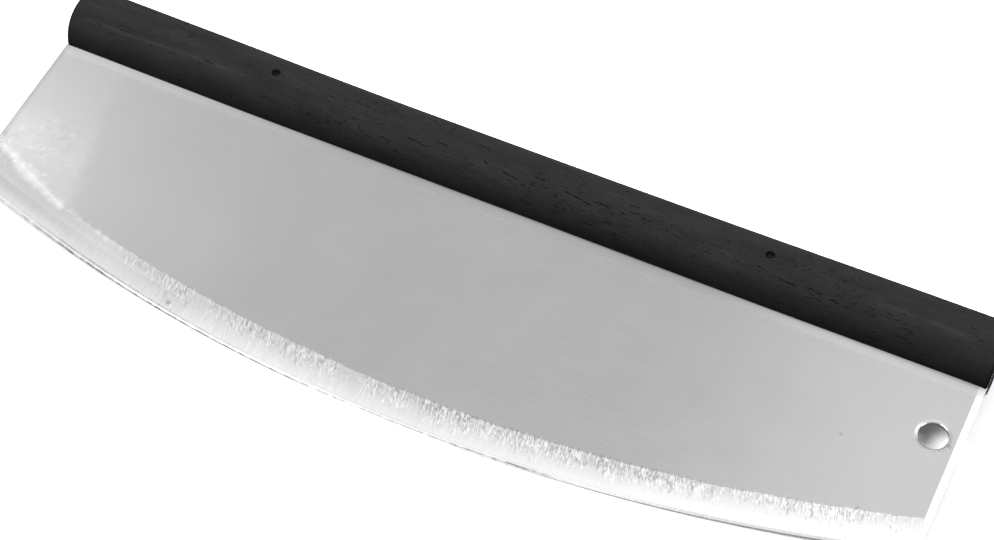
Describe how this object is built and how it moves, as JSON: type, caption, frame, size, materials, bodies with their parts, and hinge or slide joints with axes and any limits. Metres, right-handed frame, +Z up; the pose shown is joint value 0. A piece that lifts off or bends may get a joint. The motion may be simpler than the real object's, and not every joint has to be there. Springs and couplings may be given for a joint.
{
  "type": "rocking pizza knife",
  "caption": "Rocking pizza knife: a wide steel sheet blade with a curved cutting edge and a hanging hole, pinned into the sawn slot of a round wooden bar handle.",
  "frame": {"origin": "centre of the bounding box's bottom, on the surface that the knife lies on", "axes": "+X along the handle bar towards the end with the hanging hole, +Y from the cutting edge towards the bar, +Z up off the surface; the blade leans down from the bar to its edge"},
  "size_m": [0.355, 0.1178, 0.025],
  "materials": {
    "blade_steel": "satin, with a brighter ground band along the cutting edge",
    "stained_wood": "black stain over open-pored wood, thinly lacquered",
    "pin_steel": "darkened, dull"
  },
  "bodies": {
    "root": {"blade": "blade_steel", "handle": "stained_wood", "left_handle_pin": "pin_steel", "right_handle_pin": "pin_steel"}
  },
  "joints": []
}
